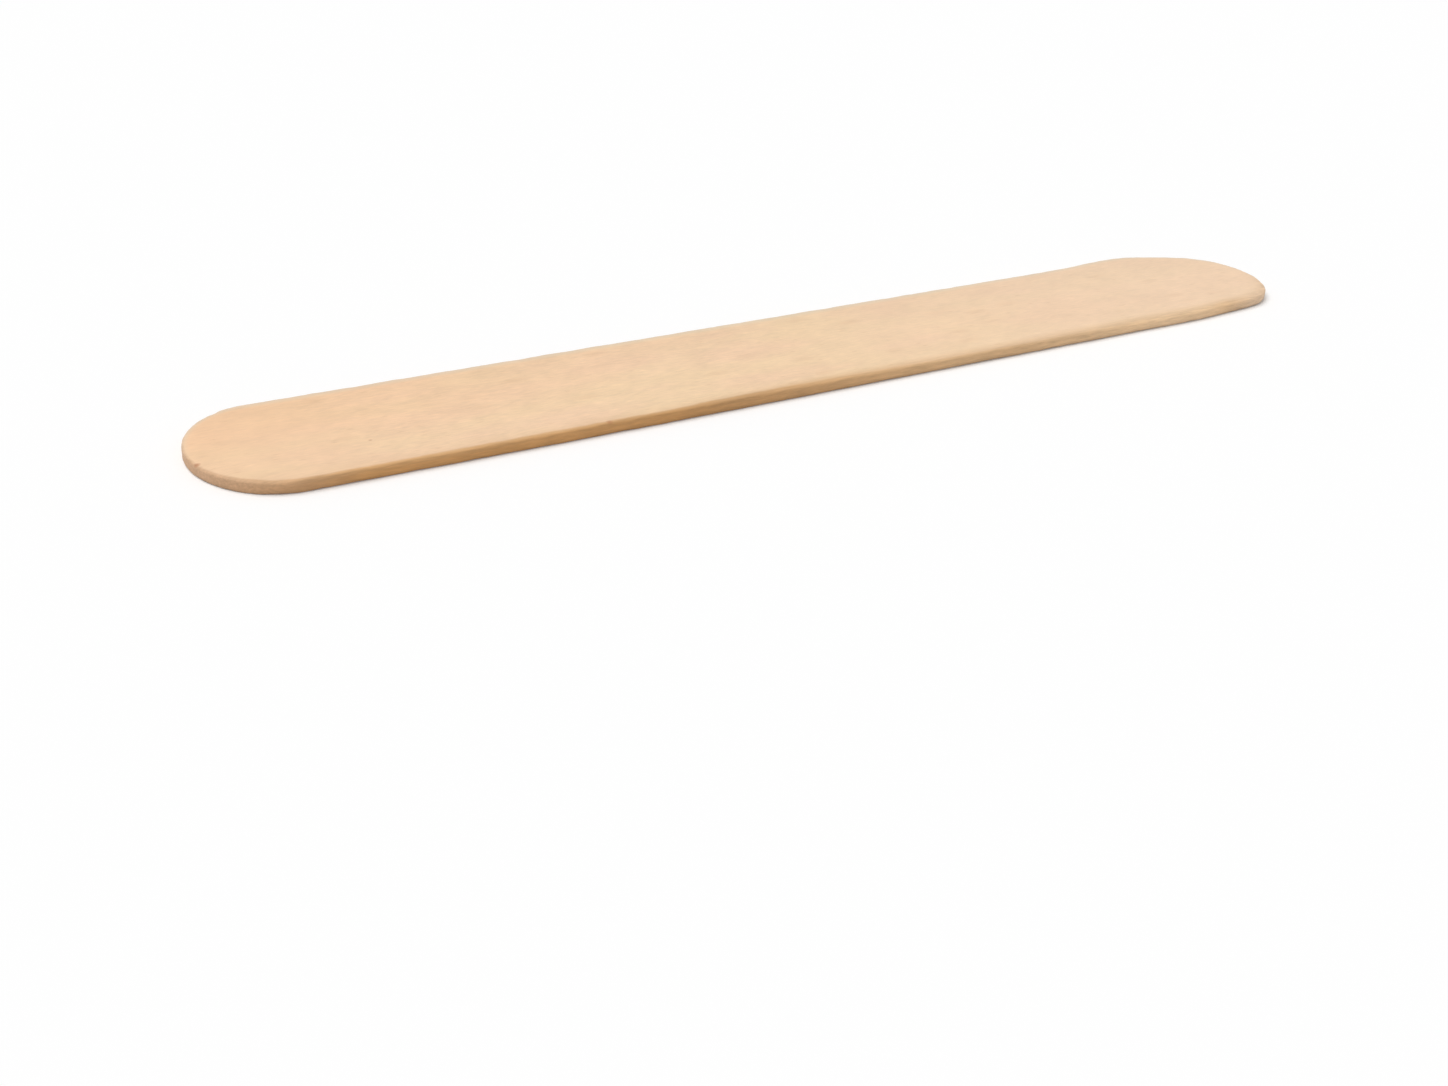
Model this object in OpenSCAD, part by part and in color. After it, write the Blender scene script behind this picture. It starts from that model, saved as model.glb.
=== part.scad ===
// Wooden spatula: a flat blade sliced from one piece of birch, with full-round ends and eased edges.
// Millimetres. The blade lies flat, its length along X, with the origin under its centre.

/* [Blade] */
// Length over the two round ends
blade_length = 150; // [140:0.5:160]
// Width across the parallel sides, which is also the diameter of the round ends
blade_width = 20; // [16:0.5:24]
// Thickness of the wood
blade_thickness = 1.6; // [1.2:0.1:2.4]

/* [Edges] */
// Radius that tumbling leaves on the upper and lower edges, all the way round
edge_radius = 0.3; // [0.1:0.05:0.5]

/* [Hidden] */
birch_color = [0.93, 0.80, 0.65];
end_radius = blade_width / 2;
end_centre = blade_length / 2 - end_radius;
side_length = 2 * end_centre;
upper_edge_z = blade_thickness - edge_radius;
$fn = 96;

// Right half of the cross-section, from the blade's centre line to its side wall at x = end_radius.
// The two quarter rounds meet the faces and the side wall without a corner.
module half_section() {
    flat_half_width = end_radius - edge_radius;
    square([flat_half_width, blade_thickness]);
    translate([0, edge_radius])
        square([end_radius, upper_edge_z - edge_radius]);
    for (edge_z = [edge_radius, upper_edge_z])
        translate([flat_half_width, edge_z])
            circle(r = edge_radius);
}

// Cross-section of the straight stretch: the half section and its mirror image
module full_section() {
    half_section();
    mirror([1, 0])
        half_section();
}

// Straight stretch between the centres of the two ends
module straight_sides() {
    translate([-end_centre, 0, 0])
        rotate([90, 0, 90])
            linear_extrude(height = side_length)
                full_section();
}

// Round end: half a turn of the same section, so that its edges run on from the straight ones
module round_end() {
    translate([end_centre, 0, 0])
        rotate([0, 0, -90])
            rotate_extrude(angle = 180)
                half_section();
}

module blade() {
    color(birch_color) {
        straight_sides();
        round_end();
        mirror([1, 0, 0])
            round_end();
    }
}

blade();
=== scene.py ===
"""A flat birch spatula blade, sliced from one piece of wood, lying on a pale floor."""
from math import pi, radians

import bpy
from bpy.props import FloatProperty, FloatVectorProperty, IntProperty, PointerProperty
from mathutils import Matrix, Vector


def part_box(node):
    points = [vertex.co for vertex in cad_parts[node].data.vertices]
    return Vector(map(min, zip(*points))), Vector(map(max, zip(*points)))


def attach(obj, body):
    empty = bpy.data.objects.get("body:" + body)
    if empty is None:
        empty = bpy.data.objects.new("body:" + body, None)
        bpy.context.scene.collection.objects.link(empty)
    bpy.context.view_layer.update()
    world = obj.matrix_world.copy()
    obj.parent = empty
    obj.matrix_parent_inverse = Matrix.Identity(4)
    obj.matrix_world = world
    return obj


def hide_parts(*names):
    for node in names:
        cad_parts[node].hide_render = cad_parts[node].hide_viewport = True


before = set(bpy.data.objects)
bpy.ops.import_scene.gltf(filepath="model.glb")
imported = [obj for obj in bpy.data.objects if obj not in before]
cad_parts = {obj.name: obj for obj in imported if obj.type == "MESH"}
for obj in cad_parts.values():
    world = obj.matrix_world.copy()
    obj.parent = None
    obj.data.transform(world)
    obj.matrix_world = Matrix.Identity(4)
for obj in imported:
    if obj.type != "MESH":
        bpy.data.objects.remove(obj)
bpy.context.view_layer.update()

bl_info = {
    "name": "Birch Spatula",
    "version": (1, 0, 0),
    "blender": (4, 5, 0),
    "location": "3D View > Sidebar > Spatula",
    "description": "Makes a sliced birch spatula blade and the stage that it lies on",
    "category": "Object",
}

MM = 0.001
PER_MM = 1000.0
BLADE_LOW, BLADE_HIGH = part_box("blade")
BLADE_SIZE = BLADE_HIGH - BLADE_LOW
PICTURE_WIDTH = 1448
SENSOR_WIDTH = 36.0
SIDE_WALL = "side_wall"
FROM_RIM = "from_rim"
# Brown marks: place and radius in millimetres, and how strongly each shows
FLECK_SPOTS = (
    ((-74.36, -2.5, 1.5), 0.42, 0.65),
    ((-55.6, -4.2, 1.6), 0.22, 0.45),
    ((-29.1, -9.85, 1.5), 0.4, 0.5),
)


def shade(red, green, blue):
    """A colour given as eight-bit screen values, as the linear numbers that a shader takes."""
    levels = [level / 255 for level in (red, green, blue)]
    return [v / 12.92 if v <= 0.04045 else ((v + 0.055) / 1.055) ** 2.4 for v in levels]


class BladeShape(bpy.types.PropertyGroup):
    """Sizes of the blade, and of what cutting and tumbling leave on it."""

    length: FloatProperty(
        name="Length", description="Length over the two round ends",
        default=BLADE_SIZE.x, unit="LENGTH")
    width: FloatProperty(
        name="Width", description="Width across the parallel sides",
        default=BLADE_SIZE.y, unit="LENGTH")
    thickness: FloatProperty(
        name="Thickness", description="Thickness of the wood",
        default=BLADE_SIZE.z, unit="LENGTH")
    edge_radius: FloatProperty(
        name="Edge radius", description="Mean radius of the eased edges",
        default=0.3 * MM, unit="LENGTH")
    edge_change: FloatProperty(
        name="Edge change", description="Share by which the eased radius changes along the edge",
        default=0.35, subtype="FACTOR")
    wave_depth: FloatProperty(
        name="Wave depth", description="Depth of the slow waves that the cutter leaves in the outline",
        default=0.12 * MM, unit="LENGTH")
    hook: FloatProperty(
        name="Hook", description="How far the tip at +X is drawn towards -Y",
        default=1.8 * MM, unit="LENGTH")
    hook_reach: FloatProperty(
        name="Hook reach", description="Distance from that tip over which it is drawn aside",
        default=13 * MM, unit="LENGTH")
    tip_push: FloatProperty(
        name="Tip push", description="How far the last stretch before that tip is drawn out",
        default=0.5 * MM, unit="LENGTH")
    shoulder_cut: FloatProperty(
        name="Shoulder cut", description="Wood that the cutter took off both shoulders of the end at +X",
        default=0.95 * MM, unit="LENGTH")
    shoulder_place: FloatProperty(
        name="Shoulder place", description="Distance of the shoulders from the tip",
        default=7.4 * MM, unit="LENGTH")
    shoulder_spread: FloatProperty(
        name="Shoulder spread", description="Half of the length over which the shoulders are flat",
        default=4.6 * MM, unit="LENGTH")
    swell: FloatProperty(
        name="Swell", description="Wood left standing on the +Y side, before the shoulder",
        default=0.7 * MM, unit="LENGTH")
    swell_place: FloatProperty(
        name="Swell place", description="Distance of the swell from the tip",
        default=16 * MM, unit="LENGTH")
    swell_spread: FloatProperty(
        name="Swell spread", description="Half of the length of the swell",
        default=6 * MM, unit="LENGTH")
    flare: FloatProperty(
        name="Flare", description="How far the -Y side stands out at -X",
        default=0.3 * MM, unit="LENGTH")
    taper: FloatProperty(
        name="Taper", description="How much further in the -Y side runs at +X",
        default=0.8 * MM, unit="LENGTH")
    lean: FloatProperty(
        name="Lean", description="How far the tip at -X is drawn towards +Y",
        default=0.35 * MM, unit="LENGTH")
    lean_reach: FloatProperty(
        name="Lean reach", description="Distance from that tip over which it is drawn aside",
        default=14 * MM, unit="LENGTH")
    crown_width: FloatProperty(
        name="Crown width", description="Width of the band along the rim where the upper face rolls off",
        default=1.3 * MM, unit="LENGTH")
    crown_drop: FloatProperty(
        name="Crown drop", description="How far the upper face has rolled off where the eased edge begins",
        default=0.09 * MM, unit="LENGTH")
    nick_depth: FloatProperty(
        name="Nick depth", description="Extra easing where splinters broke off the edge, as a share of the radius",
        default=0.6, subtype="FACTOR")
    wear: FloatProperty(
        name="Wear", description="Extra easing of the +X half of the edges, as a share of the radius",
        default=0.5, subtype="FACTOR")
    fibre_depth: FloatProperty(
        name="Fibre depth", description="Depth of the torn fibres on the side wall",
        default=0.05 * MM, unit="LENGTH")
    face_relief: FloatProperty(
        name="Face relief", description="Depth of the hollows that the knife leaves in the faces",
        default=0.015 * MM, unit="LENGTH")
    side_steps: IntProperty(
        name="Side steps", description="Mesh divisions along each straight side", default=330)
    end_steps: IntProperty(
        name="End steps", description="Mesh divisions round each end", default=84)
    face_steps: IntProperty(
        name="Face steps", description="Mesh divisions from the middle to the edge", default=20)
    edge_steps: IntProperty(
        name="Edge steps", description="Mesh divisions across each eased edge", default=6)
    wall_steps: IntProperty(
        name="Wall steps", description="Mesh divisions up the side wall", default=8)


class BirchFinish(bpy.types.PropertyGroup):
    """Colours and sheen of the bare wood."""

    cream: FloatVectorProperty(
        name="Cream", description="Yellowish ground of the wood",
        default=shade(236, 205, 167), subtype="COLOR", size=3)
    blush: FloatVectorProperty(
        name="Blush", description="Pinkish patches",
        default=shade(237, 202, 168), subtype="COLOR", size=3)
    amber: FloatVectorProperty(
        name="Amber", description="Warmer wood towards the end at -X",
        default=shade(240, 196, 155), subtype="COLOR", size=3)
    chalk: FloatVectorProperty(
        name="Chalk", description="Paler wood towards the end at +X",
        default=shade(236, 206, 176), subtype="COLOR", size=3)
    # The cut edge's darker colour is partly the wood's own, and its strong orange partly paints warm light bounced
    # from other wood lying next to it
    cut: FloatVectorProperty(
        name="Cut edge", description="Wood of the side wall, darker where the cutter went through it",
        default=shade(210, 157, 98), subtype="COLOR", size=3)
    mid_cut: FloatVectorProperty(
        name="Middle cut edge", description="Wood of the side wall halfway to the end at +X",
        default=shade(221, 181, 135), subtype="COLOR", size=3)
    pale_cut: FloatVectorProperty(
        name="Pale cut edge", description="Wood of the side wall towards the end at +X",
        default=shade(248, 211, 168), subtype="COLOR", size=3)
    greyed: FloatVectorProperty(
        name="Greyed end", description="Wood of the side wall at the end at -X",
        default=shade(208, 174, 146), subtype="COLOR", size=3)
    # Painted shade: the upper edge on the +Y side rolls away from the light, and this greyish colour paints its
    # shade
    back_edge_shade_color: FloatVectorProperty(
        name="Painted back edge shade", description="Thin greyish line along the upper edge on the +Y side",
        default=shade(208, 203, 186), subtype="COLOR", size=3)
    pore: FloatVectorProperty(
        name="Pores", description="Short dark lines where pores lie open",
        default=shade(196, 150, 108), subtype="COLOR", size=3)
    fleck: FloatVectorProperty(
        name="Flecks", description="A few brown marks in the wood",
        default=shade(176, 112, 74), subtype="COLOR", size=3)
    roughness: FloatProperty(
        name="Roughness", description="Mean roughness of the tumbled wood",
        default=0.62, subtype="FACTOR")


class StageSetup(bpy.types.PropertyGroup):
    """Camera, lights and floor."""

    camera_place: FloatVectorProperty(
        name="Camera place", description="Where the camera stands",
        default=(-116.3 * MM, -185.8 * MM, 97.9 * MM), unit="LENGTH", size=3)
    camera_heading: FloatProperty(
        name="Camera heading", description="Turn of the view from +Y towards +X",
        default=radians(30.42), subtype="ANGLE", unit="ROTATION")
    camera_dip: FloatProperty(
        name="Camera dip", description="Angle by which the camera looks down",
        default=radians(29.62), subtype="ANGLE", unit="ROTATION")
    camera_roll: FloatProperty(
        name="Camera roll", description="Turn of the camera about its own view line",
        default=radians(3.60), subtype="ANGLE", unit="ROTATION")
    focal_pixels: FloatProperty(
        name="Focal length", description="Focal length in pixels of the picture", default=1909.6)
    floor_size: FloatProperty(
        name="Floor size", description="Side of the square floor", default=6.0, unit="LENGTH")
    sky_strength: FloatProperty(
        name="Sky strength", description="Level of the light that comes from all round", default=0.42)
    key_strength: FloatProperty(
        name="Key strength", description="Level of the wide lamp overhead", default=1.98)
    key_spread: FloatProperty(
        name="Key spread", description="Angle over which the lamp is spread, which softens shadows",
        default=radians(50), subtype="ANGLE", unit="ROTATION")


class Field:
    """A node output that takes part in arithmetic: each operation adds one Math node to its tree."""

    def __init__(self, socket):
        self.socket = socket

    def math(self, operation, *others, clamp=False):
        node = self.socket.id_data.nodes.new("ShaderNodeMath")
        node.operation = operation
        node.use_clamp = clamp
        for socket, value in zip(node.inputs, (self, *others)):
            feed(socket, value)
        return Field(node.outputs[0])

    def __add__(self, other):
        return self.math("ADD", other)

    def __mul__(self, other):
        return self.math("MULTIPLY", other)

    def __sub__(self, other):
        return self.math("SUBTRACT", other)

    def __rsub__(self, other):
        return self * -1 + other

    __radd__ = __add__
    __rmul__ = __mul__

    def bell(self, centre, spread):
        """A smooth hump over the values near the centre, 1 high."""
        away = (self - centre).math("DIVIDE", spread)
        return (away * away * -1).math("EXPONENT")

    def share(self, low, high):
        """How far the value has come from low to high, held between 0 and 1."""
        return (self - low).math("DIVIDE", high - low, clamp=True)


def feed(socket, value):
    """Sets an input: a Field or an output is linked to it, and anything else becomes its value."""
    if isinstance(value, Field):
        value = value.socket
    if isinstance(value, bpy.types.NodeSocket):
        socket.id_data.links.new(value, socket)
    else:
        socket.default_value = value


def add_node(tree, kind, settings=None, **inputs):
    """Adds a node with its own settings, and its sockets by their names, a space written as _."""
    node = tree.nodes.new(kind)
    for name, value in (settings or {}).items():
        setattr(node, name, value)
    for name, value in inputs.items():
        feed(node.inputs[name.replace("_", " ")], value)
    return node


def vector_math(tree, operation, *operands):
    node = add_node(tree, "ShaderNodeVectorMath", {"operation": operation})
    scale = operands[1:] if operation == "SCALE" else ()
    for socket, value in zip(node.inputs, operands[:1] if scale else operands):
        feed(socket, value)
    for value in scale:
        feed(node.inputs["Scale"], value)
    return node.outputs[0]


def along_grain(tree, place, per_mm_along, per_mm_across, start=0.0):
    """A place in metres, scaled so that a pattern on it is drawn out along the grain."""
    scale = [per_mm_along * PER_MM] + [per_mm_across * PER_MM] * 2
    scaled = vector_math(tree, "MULTIPLY", place, scale)
    return vector_math(tree, "ADD", scaled, [start] * 3)


def noise(tree, place, detail=2.0, roughness=0.5):
    node = add_node(tree, "ShaderNodeTexNoise", Vector=place, Scale=1.0, Detail=detail, Roughness=roughness)
    return Field(node.outputs[0])


def blade_inputs(tree, shape):
    """Gives the tree one named input for each size of the blade, and returns them as fields."""
    names = [prop.identifier for prop in shape.bl_rna.properties if prop.identifier in shape.__annotations__]
    for name in names:
        kind = "NodeSocketInt" if name.endswith("steps") else "NodeSocketFloat"
        tree.interface.new_socket(name, in_out="INPUT", socket_type=kind)
    given = tree.nodes.new("NodeGroupInput")
    return {name: Field(given.outputs[name]) for name in names}


def blade_tree(shape, wood):
    """Bends a flat grid into the blade: one way runs round the outline, the other from the middle
    of the underside out over the eased edges and the side wall to the middle of the upper face."""
    tree = bpy.data.node_groups.new("sliced_blade", "GeometryNodeTree")
    size = blade_inputs(tree, shape)
    tree.interface.new_socket("Blade", in_out="OUTPUT", socket_type="NodeSocketGeometry")

    side, end = size["side_steps"], size["end_steps"]
    face, edge, wall = size["face_steps"], size["edge_steps"], size["wall_steps"]
    steps_round = (side + end) * 2
    steps_over = (face + edge) * 2 + wall
    grid = add_node(
        tree, "GeometryNodeMeshGrid", Size_X=steps_round, Size_Y=steps_over,
        Vertices_X=steps_round + 1, Vertices_Y=steps_over + 1)
    corner = add_node(tree, "ShaderNodeSeparateXYZ", Vector=tree.nodes.new("GeometryNodeInputPosition").outputs[0])
    step_round = Field(corner.outputs["X"]) + steps_round * 0.5
    step_over = Field(corner.outputs["Y"]) + steps_over * 0.5

    # Way round: front side, right end, back side, left end
    front = step_round.share(0, side)
    right = step_round.share(side, side + end)
    back = step_round.share(side + end, side * 2 + end)
    left = step_round.share(side * 2 + end, steps_round)
    centre_x = (size["length"] - size["width"]) * (front - back - 0.5)
    heading = (right + left - 0.5) * pi
    out_x, out_y = heading.math("COSINE"), heading.math("SINE")

    # Waves in the outline and changes of the eased radius follow a noise along the rim
    rim = add_node(
        tree, "ShaderNodeCombineXYZ", X=centre_x + out_x * size["width"] * 0.5, Y=out_y * size["width"] * 0.5)
    wave = noise(tree, along_grain(tree, rim.outputs[0], 0.11, 0.11)).share(0.15, 0.85)
    easing = noise(tree, along_grain(tree, rim.outputs[0], 0.3, 0.3, 7.0)).share(0.3, 0.7)
    nicks = noise(tree, along_grain(tree, rim.outputs[0], 0.5, 0.5, 13.0)).share(0.52, 0.8)
    unevenly = noise(tree, along_grain(tree, rim.outputs[0], 0.06, 0.06, 19.0)) - 0.5
    along = centre_x + unevenly * (50 * MM)
    worn = along.share(-62 * MM, 0).math("MAXIMUM", (out_x * -1).share(0.1, 0.8) * 0.7)
    worn = worn * (1 - out_y.share(-0.3, 0.5))
    radius = size["width"] * 0.5 - size["wave_depth"] * wave
    rounded = worn * along.share(0, 25 * MM)
    easing_share = size["edge_change"] * (easing * 2 - 1) + size["nick_depth"] * nicks + rounded * size["wear"]
    edge_radius = (size["edge_radius"] * (1 + easing_share)).math("MINIMUM", size["thickness"] * 0.45)

    # Way over: lower face, lower edge, side wall, upper edge, upper face
    lower_face = 1 - (1 - step_over.share(0, face)).math("POWER", 1.6)
    lower_edge = step_over.share(face, face + edge)
    up_wall = step_over.share(face + edge, face + edge + wall)
    upper_edge = step_over.share(face + edge + wall, face + edge * 2 + wall)
    upper_face = step_over.share(face + edge * 2 + wall, steps_over).math("POWER", 1.6)
    tilt = (lower_edge + upper_edge - 1) * (pi / 2)
    wallness = tilt.math("COSINE")
    reach = (radius - edge_radius) * (lower_face - upper_face) + edge_radius * wallness
    flat_height = edge_radius * (tilt.math("SINE") + 1) + (size["thickness"] - edge_radius * 2) * up_wall
    in_crown = 1 - (radius - edge_radius - reach).share(0, size["crown_width"])
    rolled_off = in_crown * in_crown * flat_height.share(0, size["thickness"])
    height = flat_height - size["crown_drop"] * (1 + worn) * rolled_off

    x, y = centre_x + out_x * reach, out_y * reach
    pushed = size["tip_push"] * x.share(size["length"] * 0.5 - 6 * MM, size["length"] * 0.5)
    place = add_node(tree, "ShaderNodeCombineXYZ", X=x + pushed, Y=y + sideways_cut(size, x, y), Z=height)
    marked = grid.outputs["Mesh"]
    for name, value in ((SIDE_WALL, wallness), (FROM_RIM, radius - reach)):
        mark = {"data_type": "FLOAT", "domain": "POINT"}
        node = add_node(tree, "GeometryNodeStoreNamedAttribute", mark, Geometry=marked, Name=name, Value=value)
        marked = node.outputs[0]
    bent = add_node(tree, "GeometryNodeSetPosition", Geometry=marked, Position=place.outputs[0])
    closed = add_node(
        tree, "GeometryNodeMergeByDistance", Geometry=bent.outputs[0], Distance=0.002 * MM)
    carved = carve_surface(tree, size, closed.outputs[0])
    smooth = add_node(tree, "GeometryNodeSetShadeSmooth", Geometry=carved)
    real = add_node(tree, "GeometryNodeRealizeInstances", Geometry=smooth.outputs[0])
    dressed = add_node(tree, "GeometryNodeSetMaterial", Geometry=real.outputs[0], Material=wood)
    feed(tree.nodes.new("NodeGroupOutput").inputs[0], dressed.outputs[0])
    return tree


def sideways_cut(size, x, y):
    """How far the uneven cut of the ends and sides moves a point sideways."""
    from_tip = size["length"] * 0.5 - x
    from_left = size["length"] * 0.5 + x
    off_centre = y.math("DIVIDE", size["width"] * 0.5)
    drawn = (1 - from_tip.share(0, size["hook_reach"])).math("POWER", 1.5)
    run_in = size["taper"] * from_tip.share(110 * MM, 15 * MM) - size["flare"]
    leaning = run_in * (off_centre * -1).math("MAXIMUM", 0)
    flattened = from_tip.bell(size["shoulder_place"], size["shoulder_spread"])
    swollen = from_tip.bell(size["swell_place"], size["swell_spread"]) * off_centre.math("MAXIMUM", 0)
    outward = size["swell"] * swollen + leaning
    left_drawn = (1 - from_left.share(0, size["lean_reach"])).math("POWER", 1.5)
    aside = size["lean"] * left_drawn - size["hook"] * drawn
    return outward + aside - size["shoulder_cut"] * flattened * off_centre


def carve_surface(tree, size, geometry):
    """Lowers the surface: torn fibres on the side wall, shallow knife hollows on the faces."""
    place = tree.nodes.new("GeometryNodeInputPosition").outputs[0]
    normal = tree.nodes.new("GeometryNodeInputNormal").outputs[0]
    marks = add_node(tree, "GeometryNodeInputNamedAttribute", {"data_type": "FLOAT"}, Name=SIDE_WALL)
    wallness = Field(marks.outputs["Attribute"])
    torn = noise(tree, along_grain(tree, place, 0.35, 2.2, 3.0)).share(0.35, 0.75)
    hollow = noise(tree, along_grain(tree, place, 0.04, 0.25, 11.0)).share(0.25, 0.75)
    depth = size["fibre_depth"] * torn * wallness + size["face_relief"] * hollow * (1 - wallness)
    offset = vector_math(tree, "SCALE", normal, depth * -1)
    return add_node(tree, "GeometryNodeSetPosition", Geometry=geometry, Offset=offset).outputs[0]


def mix_color(tree, factor, first, second):
    node = add_node(tree, "ShaderNodeMix", {"data_type": "RGBA"})
    names = ("Factor_Float", "A_Color", "B_Color")
    sockets = {socket.identifier: socket for socket in node.inputs}
    for name, value in zip(names, (factor, opaque(first), opaque(second))):
        feed(sockets[name], value)
    return next(socket for socket in node.outputs if socket.identifier == "Result_Color")


def opaque(color):
    return color if isinstance(color, bpy.types.NodeSocket) else [*color, 1.0]


def dashes(tree, place, per_mm_along, per_mm_across, thickness, kept, start):
    """Short lines along the grain: stretched spots, one to a cell, of which only a share is kept."""
    cells = add_node(
        tree, "ShaderNodeTexVoronoi", Vector=along_grain(tree, place, per_mm_along, per_mm_across, start),
        Scale=1.0, Randomness=1.0)
    near = 1 - Field(cells.outputs["Distance"]).share(0.0, thickness)
    chance = add_node(tree, "ShaderNodeSeparateColor", Color=cells.outputs["Color"])
    present = 1 - Field(chance.outputs[0]).share(kept, kept + 0.05)
    return near * present


def wood_ground(tree, finish, place, grain_place):
    """Colour of the faces: mottled, warmer towards -X and paler towards +X."""
    spot = add_node(tree, "ShaderNodeSeparateXYZ", Vector=place)
    x, y = Field(spot.outputs["X"]), Field(spot.outputs["Y"])
    clouds = noise(tree, along_grain(tree, grain_place, 0.06, 0.16, 1.0), detail=2.0)
    drift = noise(tree, along_grain(tree, place, 0.03, 0.08, 8.0), detail=1.0) - 0.5
    ground = mix_color(tree, clouds.share(0.38, 0.62), finish.cream, finish.blush)
    warmth = (x + y * -2.5 + drift * (50 * MM)).share(-20 * MM, -85 * MM)
    warm = mix_color(tree, warmth * 0.7, ground, finish.amber)
    paleness = (x + drift * (40 * MM)).share(0, 60 * MM)
    return mix_color(tree, paleness * 0.7, warm, finish.chalk)


def wall_color(tree, finish, place):
    """Colour of the side wall: streaked along the grain, paler towards +X, with painted light making it paler high
    up and painted shadow darkening its foot.
    """
    spot = add_node(tree, "ShaderNodeSeparateXYZ", Vector=place)
    x, z = Field(spot.outputs["X"]), Field(spot.outputs["Z"])
    # Painted light: the upper part of the wall is paler, as where it catches more light from above
    high = z.share(0.8 * MM, 1.5 * MM)
    streaks = noise(tree, along_grain(tree, place, 0.4, 4.0, 12.0), detail=3.0, roughness=0.6) - 0.5
    patches = noise(tree, along_grain(tree, place, 0.09, 0.5, 15.0), detail=2.0) - 0.5
    halfway = x.share(-20 * MM, 20 * MM) + high * (0.12 + x.share(-30 * MM, -50 * MM) * 0.24)
    cut = mix_color(tree, halfway.math("MINIMUM", 1.0), finish.cut, finish.mid_cut)
    paleness = x.share(28 * MM, 53 * MM) - x.bell(65.5 * MM, 3 * MM) * 0.25 - x.share(60 * MM, 66 * MM) * 0.4
    pale = mix_color(tree, paleness, cut, finish.pale_cut)
    chalky = mix_color(tree, x.share(64 * MM, 70 * MM) * 0.6, pale, finish.chalk)
    greyed = mix_color(tree, x.share(-58 * MM, -74 * MM) * 0.65, chalky, finish.greyed)
    # Painted contact shadow: the wall darkens towards its foot on the floor
    level = (1 + streaks * 0.6 + patches * 0.35) * (0.8 + z.share(0.1 * MM, 0.6 * MM) * 0.2)
    level = level * (1 - x.bell(-14 * MM, 14 * MM) * (0.1 + high * 0.1))
    return vector_math(tree, "SCALE", greyed, level)


def stored_value(tree, name):
    """A value that the blade's tree stored on its points."""
    return Field(add_node(tree, "ShaderNodeAttribute", {"attribute_name": name}).outputs["Fac"])


def rim_color(tree, finish, place, ground):
    """Colour of the blade from its upper face, over the eased edges, to the side wall, with painted shade along the
    upper edges.
    """
    from_rim = stored_value(tree, FROM_RIM)
    turned_up = 1 - stored_value(tree, SIDE_WALL)
    spot = add_node(tree, "ShaderNodeSeparateXYZ", Vector=place)
    x, y, z = (Field(spot.outputs[axis]) for axis in "XYZ")
    back, front, far = y.share(-1 * MM, 6 * MM), y.share(0, -7 * MM), x.share(20 * MM, 50 * MM)

    # The wall's darker colour creeps over the eased edge, most along the front: partly the cut wood, partly painted
    # shade where the edge rolls away from the light
    frayed = noise(tree, along_grain(tree, place, 0.18, 0.3, 17.0), detail=4.0, roughness=0.6).share(0.3, 0.7)
    most = x.bell(-9 * MM, 13 * MM) * 0.3 + x.bell(-42 * MM, 16 * MM) * 0.17
    most = most + x.share(55 * MM, 63 * MM) * 0.35 + x.bell(-69.5 * MM, 2.5 * MM) * 0.25
    crept = (most + 0.03 + frayed * 0.24) * front * MM
    border = 1 - (from_rim - crept).share(0.05 * MM, 0.36 * MM)
    # Painted shade: a soft band inside the front rim is mixed towards the wall colour, as the shade of a face
    # rolling off towards the edge
    soft = 0.12 + x.share(-25 * MM, 0) * 0.73 + x.bell(-3 * MM, 7 * MM) * 0.25 + far * 0.2
    inward = (from_rim * (1 - far * 0.25)).share(0.3 * MM, 1.9 * MM)
    painted_rim_shade = (1 - inward).math("POWER", 2.0) * soft * front
    before_tip = 1 - x.share(62 * MM, 68 * MM)
    near_part = x.bell(-35 * MM, 26 * MM)
    # Painted shade: where the eased edge still faces up, the wall colour is dulled and darkened to stand for the
    # shade on it
    wall = mix_color(tree, near_part * turned_up * 0.45, wall_color(tree, finish, place), finish.mid_cut)
    wall = mix_color(tree, x.bell(28 * MM, 17 * MM) * turned_up * 0.3, wall, finish.chalk)
    wall = vector_math(tree, "SCALE", wall, 1 - turned_up * (far * 0.12 + near_part * 0.05))
    warmed = (1 - from_rim.share(0.4 * MM, 3 * MM)) * near_part * front * 0.11
    ground = mix_color(tree, warmed, ground, finish.pore)
    edged = mix_color(tree, border + painted_rim_shade * (1 - border), ground, wall)
    # Painted shade: a darker line just over the upper front edge
    wider = x.share(34 * MM, 48 * MM) * MM
    painted_edge_shade = from_rim.bell(wider * 0.25 + 0.2 * MM, wider * 0.2 + 0.5 * MM) * z.share(wider * 0.4 + 0.8 * MM, 1.4 * MM)
    painted_edge_shade = painted_edge_shade * x.share(-12 * MM, 30 * MM) * before_tip * front * 0.09
    edged = vector_math(tree, "SCALE", edged, 1 - painted_edge_shade)

    # Painted shade: a thin greyish line along the upper edge on the +Y side, where it rolls away from the light
    narrower = 1 + x.share(-66 * MM, -74 * MM) + x.share(20 * MM, 65 * MM) * 0.3
    back_edge_shade = (1 - (from_rim * narrower).share(0.45 * MM, 1.5 * MM)) * 0.45
    return mix_color(tree, back_edge_shade * z.share(0.9 * MM, 1.3 * MM) * back, edged, finish.back_edge_shade_color)


def flecks(tree, place):
    """How strongly the brown marks show, which lie at chosen places."""
    marks = []
    for (x, y, z), radius, strength in FLECK_SPOTS:
        away = vector_math(tree, "SUBTRACT", place, [x * MM, y * MM, z * MM])
        squeezed = vector_math(tree, "MULTIPLY", away, [PER_MM * 0.8, PER_MM, PER_MM])
        distance = add_node(tree, "ShaderNodeVectorMath", {"operation": "LENGTH"})
        feed(distance.inputs[0], squeezed)
        marks.append((1 - Field(distance.outputs["Value"]).share(radius * 0.3, radius)) * strength)
    return sum(marks)


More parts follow.
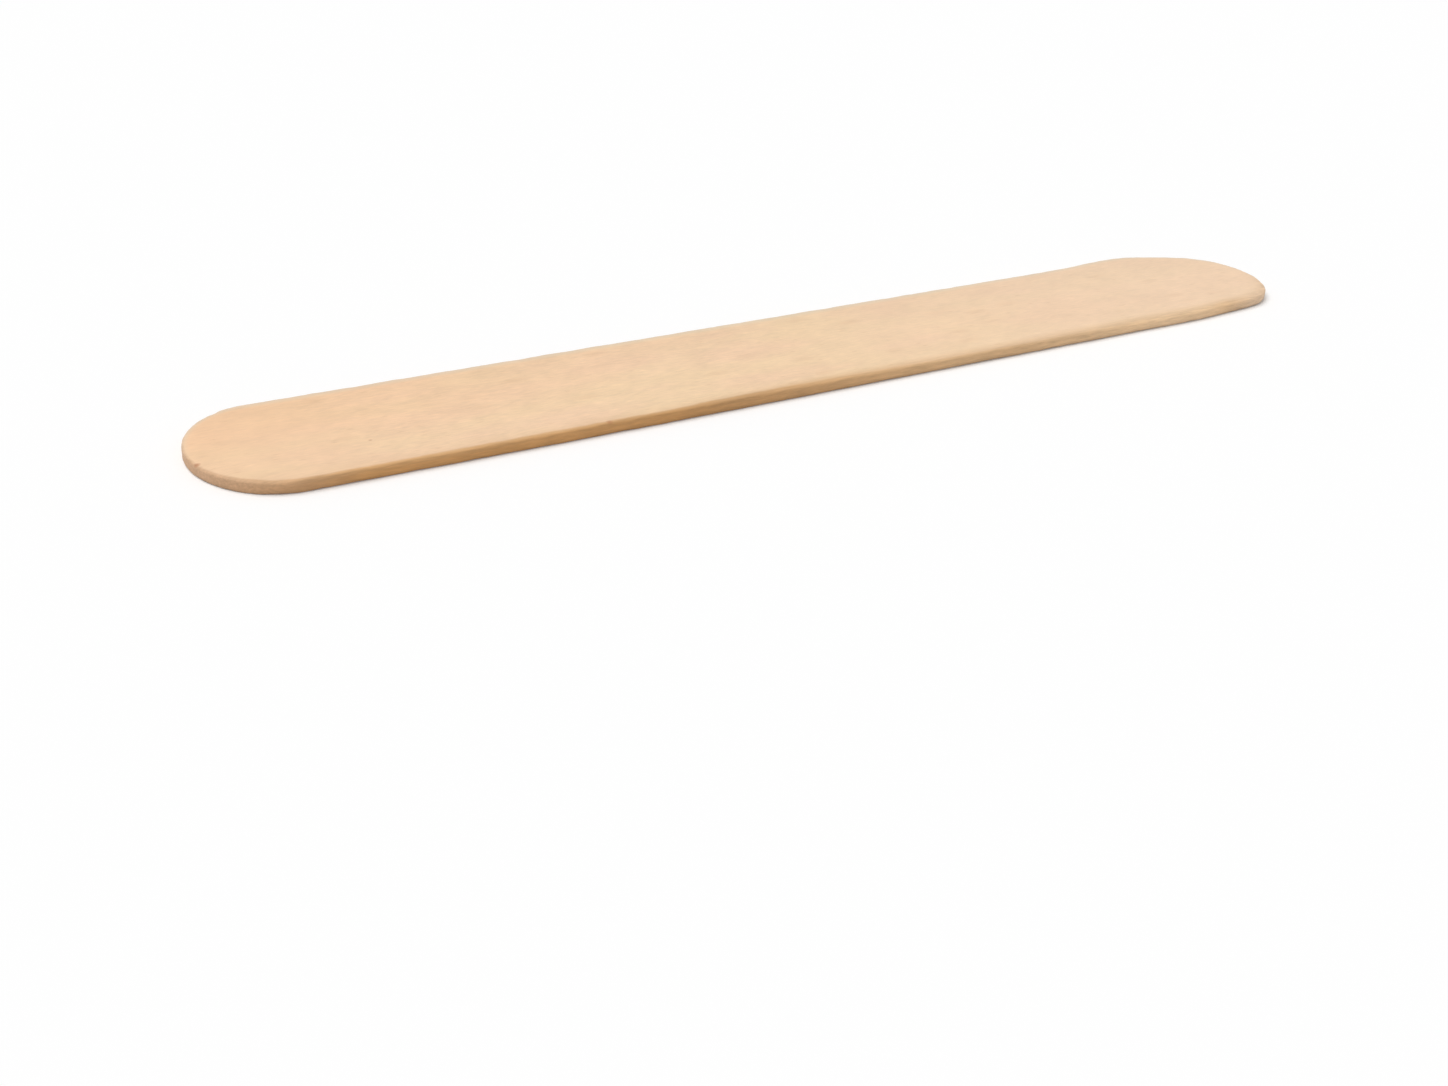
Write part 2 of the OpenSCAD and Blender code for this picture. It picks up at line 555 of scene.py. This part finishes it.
def birch_material(finish):
    """Pale bare birch: mottled ground, short fibres, open pores, eased edges with cut-wood colour and painted shade
    over them, and darker side walls.
    """
    wood = bpy.data.materials.new("sliced_birch")
    wood.use_nodes = True
    tree = wood.node_tree
    tree.nodes.clear()
    place = tree.nodes.new("ShaderNodeTexCoord").outputs["Object"]
    sway = noise(tree, along_grain(tree, place, 0.05, 0.15, 5.0), detail=1.0)
    sway_y = add_node(tree, "ShaderNodeCombineXYZ", Y=(sway - 0.5) * (1.5 * MM))
    grain_place = vector_math(tree, "ADD", place, sway_y.outputs[0])

    figure = noise(tree, along_grain(tree, grain_place, 0.2, 0.36, 21.0), detail=2.0) - 0.5
    ripples = noise(tree, along_grain(tree, grain_place, 0.5, 0.9, 2.0), detail=3.0) - 0.5
    fibres = noise(tree, along_grain(tree, grain_place, 0.7, 4.2, 3.0), detail=3.0, roughness=0.65) - 0.5
    pores = dashes(tree, grain_place, 0.42, 1.9, 0.26, 0.28, 4.0)
    pale_lines = dashes(tree, grain_place, 0.4, 1.7, 0.3, 0.35, 9.0)
    smudges = dashes(tree, grain_place, 0.17, 0.5, 0.4, 0.12, 37.0)

    spot = add_node(tree, "ShaderNodeSeparateXYZ", Vector=place)
    x, y = Field(spot.outputs["X"]), Field(spot.outputs["Y"])
    coarser = 0.86 + x.share(20 * MM, -10 * MM) * 0.38 - x.share(-52 * MM, -64 * MM) * 0.4
    shaded = y.share(1 * MM, 7 * MM) * 0.035
    level = 1 - shaded + (figure * 0.15 + ripples * 0.1 + fibres * 0.24 + pale_lines * 0.06) * coarser
    ground = wood_ground(tree, finish, place, grain_place)
    porous = mix_color(tree, pores * 0.27 + smudges * 0.22, vector_math(tree, "SCALE", ground, level), finish.pore)

    edged = rim_color(tree, finish, place, porous)
    flecked = mix_color(tree, flecks(tree, place), edged, finish.fleck)

    roughness = finish.roughness + fibres * 0.2
    bump = add_node(
        tree, "ShaderNodeBump", Strength=0.35, Distance=0.02 * MM, Height=fibres - pores * 0.4)
    surface = add_node(
        tree, "ShaderNodeBsdfPrincipled", Base_Color=flecked, Roughness=roughness, Normal=bump.outputs[0])
    surface.inputs["Specular IOR Level"].default_value = 0.4
    output = tree.nodes.new("ShaderNodeOutputMaterial")
    feed(output.inputs["Surface"], surface.outputs[0])
    return wood


def seen_directly(tree):
    """1 for rays that show a surface as it looks, and 0 for rays that only carry light."""
    path = tree.nodes.new("ShaderNodeLightPath")
    seen = Field(path.outputs["Is Camera Ray"]).math("MAXIMUM", path.outputs["Is Glossy Ray"])
    return seen.math("MAXIMUM", path.outputs["Is Transmission Ray"])


def floor_material():
    """White paper: what the camera sees is lifted to white, and the shadow stays."""
    paper = bpy.data.materials.new("white_paper")
    paper.use_nodes = True
    tree = paper.node_tree
    tree.nodes.clear()
    lift = 0.075
    matt = add_node(tree, "ShaderNodeBsdfDiffuse", Color=[0.91, 0.91, 0.91, 1.0])
    glow = add_node(tree, "ShaderNodeEmission", Color=[1.0, 1.0, 1.0, 1.0], Strength=seen_directly(tree) * lift)
    both = tree.nodes.new("ShaderNodeAddShader")
    feed(both.inputs[0], matt.outputs[0])
    feed(both.inputs[1], glow.outputs[0])
    output = tree.nodes.new("ShaderNodeOutputMaterial")
    feed(output.inputs["Surface"], both.outputs[0])
    return paper


def studio_world(strength):
    """Even light from all round, seen as plain white."""
    world = bpy.data.worlds.new("studio")
    world.use_nodes = True
    tree = world.node_tree
    tree.nodes.clear()
    seen = seen_directly(tree)
    level = strength + (1 - strength) * seen
    sky = add_node(tree, "ShaderNodeBackground", Color=[1.0, 1.0, 1.0, 1.0], Strength=level)
    output = tree.nodes.new("ShaderNodeOutputWorld")
    feed(output.inputs["Surface"], sky.outputs[0])
    return world


class SPATULA_OT_blade(bpy.types.Operator):
    """Makes the blade in place of its CAD solid"""

    bl_idname = "spatula.blade"
    bl_label = "Make Blade"

    def execute(self, context):
        shape = context.scene.blade_shape
        wood = birch_material(context.scene.birch_finish)
        carrier = bpy.data.objects.new("blade_rule", bpy.data.meshes.new("blade_rule"))
        context.collection.objects.link(carrier)
        modifier = carrier.modifiers.new("sliced_blade", "NODES")
        modifier.node_group = blade_tree(shape, wood)
        for item in modifier.node_group.interface.items_tree:
            if item.in_out == "INPUT":
                modifier[item.identifier] = getattr(shape, item.name)
        evaluated = carrier.evaluated_get(context.evaluated_depsgraph_get())
        mesh = bpy.data.meshes.new_from_object(evaluated)
        if not mesh.polygons:
            raise RuntimeError("the blade's tree made no faces")
        bpy.data.objects.remove(carrier)
        blade = bpy.data.objects.new("birch_blade", mesh)
        context.collection.objects.link(blade)
        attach(blade, "root")
        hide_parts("blade")
        return {"FINISHED"}


class SPATULA_OT_stage(bpy.types.Operator):
    """Makes the camera, the lights and the floor"""

    bl_idname = "spatula.stage"
    bl_label = "Make Stage"

    def execute(self, context):
        stage = context.scene.stage_setup
        lens = bpy.data.cameras.new("camera")
        lens.sensor_width = SENSOR_WIDTH
        lens.lens = stage.focal_pixels * SENSOR_WIDTH / PICTURE_WIDTH
        lens.clip_start = 10 * MM
        camera = bpy.data.objects.new("camera", lens)
        camera.matrix_world = (
            Matrix.Translation(stage.camera_place)
            @ Matrix.Rotation(-stage.camera_heading, 4, "Z")
            @ Matrix.Rotation(pi / 2 - stage.camera_dip, 4, "X")
            @ Matrix.Rotation(stage.camera_roll, 4, "Z"))
        context.collection.objects.link(camera)
        bpy.context.scene.camera = camera

        lamp = bpy.data.lights.new("key", "SUN")
        lamp.energy = stage.key_strength
        lamp.angle = stage.key_spread
        key = bpy.data.objects.new("key", lamp)
        key.rotation_euler = (radians(-10), radians(-18), 0)
        context.collection.objects.link(key)

        half = stage.floor_size / 2
        mesh = bpy.data.meshes.new("floor")
        corners = [(-half, -half, 0), (half, -half, 0), (half, half, 0), (-half, half, 0)]
        mesh.from_pydata(corners, [], [(0, 1, 2, 3)])
        mesh.materials.append(floor_material())
        floor = bpy.data.objects.new("floor", mesh)
        context.collection.objects.link(floor)
        context.scene.world = studio_world(stage.sky_strength)
        context.scene.view_settings.view_transform = "Standard"
        return {"FINISHED"}


class SPATULA_PT_panel(bpy.types.Panel):
    """Sizes, finish and stage of the spatula"""

    bl_idname = "SPATULA_PT_panel"
    bl_label = "Birch Spatula"
    bl_space_type = "VIEW_3D"
    bl_region_type = "UI"
    bl_category = "Spatula"

    def draw(self, context):
        groups = {
            SPATULA_OT_stage: context.scene.stage_setup,
            SPATULA_OT_blade: context.scene.blade_shape,
            None: context.scene.birch_finish,
        }
        for operator, group in groups.items():
            box = self.layout.box()
            for name in group.__annotations__:
                box.prop(group, name)
            if operator:
                box.operator(operator.bl_idname)


CLASSES = (BladeShape, BirchFinish, StageSetup, SPATULA_OT_blade, SPATULA_OT_stage, SPATULA_PT_panel)
GROUPS = {"blade_shape": BladeShape, "birch_finish": BirchFinish, "stage_setup": StageSetup}


def register():
    for cls in CLASSES:
        bpy.utils.register_class(cls)
    for name, group in GROUPS.items():
        setattr(bpy.types.Scene, name, PointerProperty(type=group))


def unregister():
    for name in GROUPS:
        delattr(bpy.types.Scene, name)
    for cls in reversed(CLASSES):
        bpy.utils.unregister_class(cls)


def main():
    register()
    bpy.ops.spatula.stage()
    bpy.ops.spatula.blade()


if __name__ == "__main__":
    main()
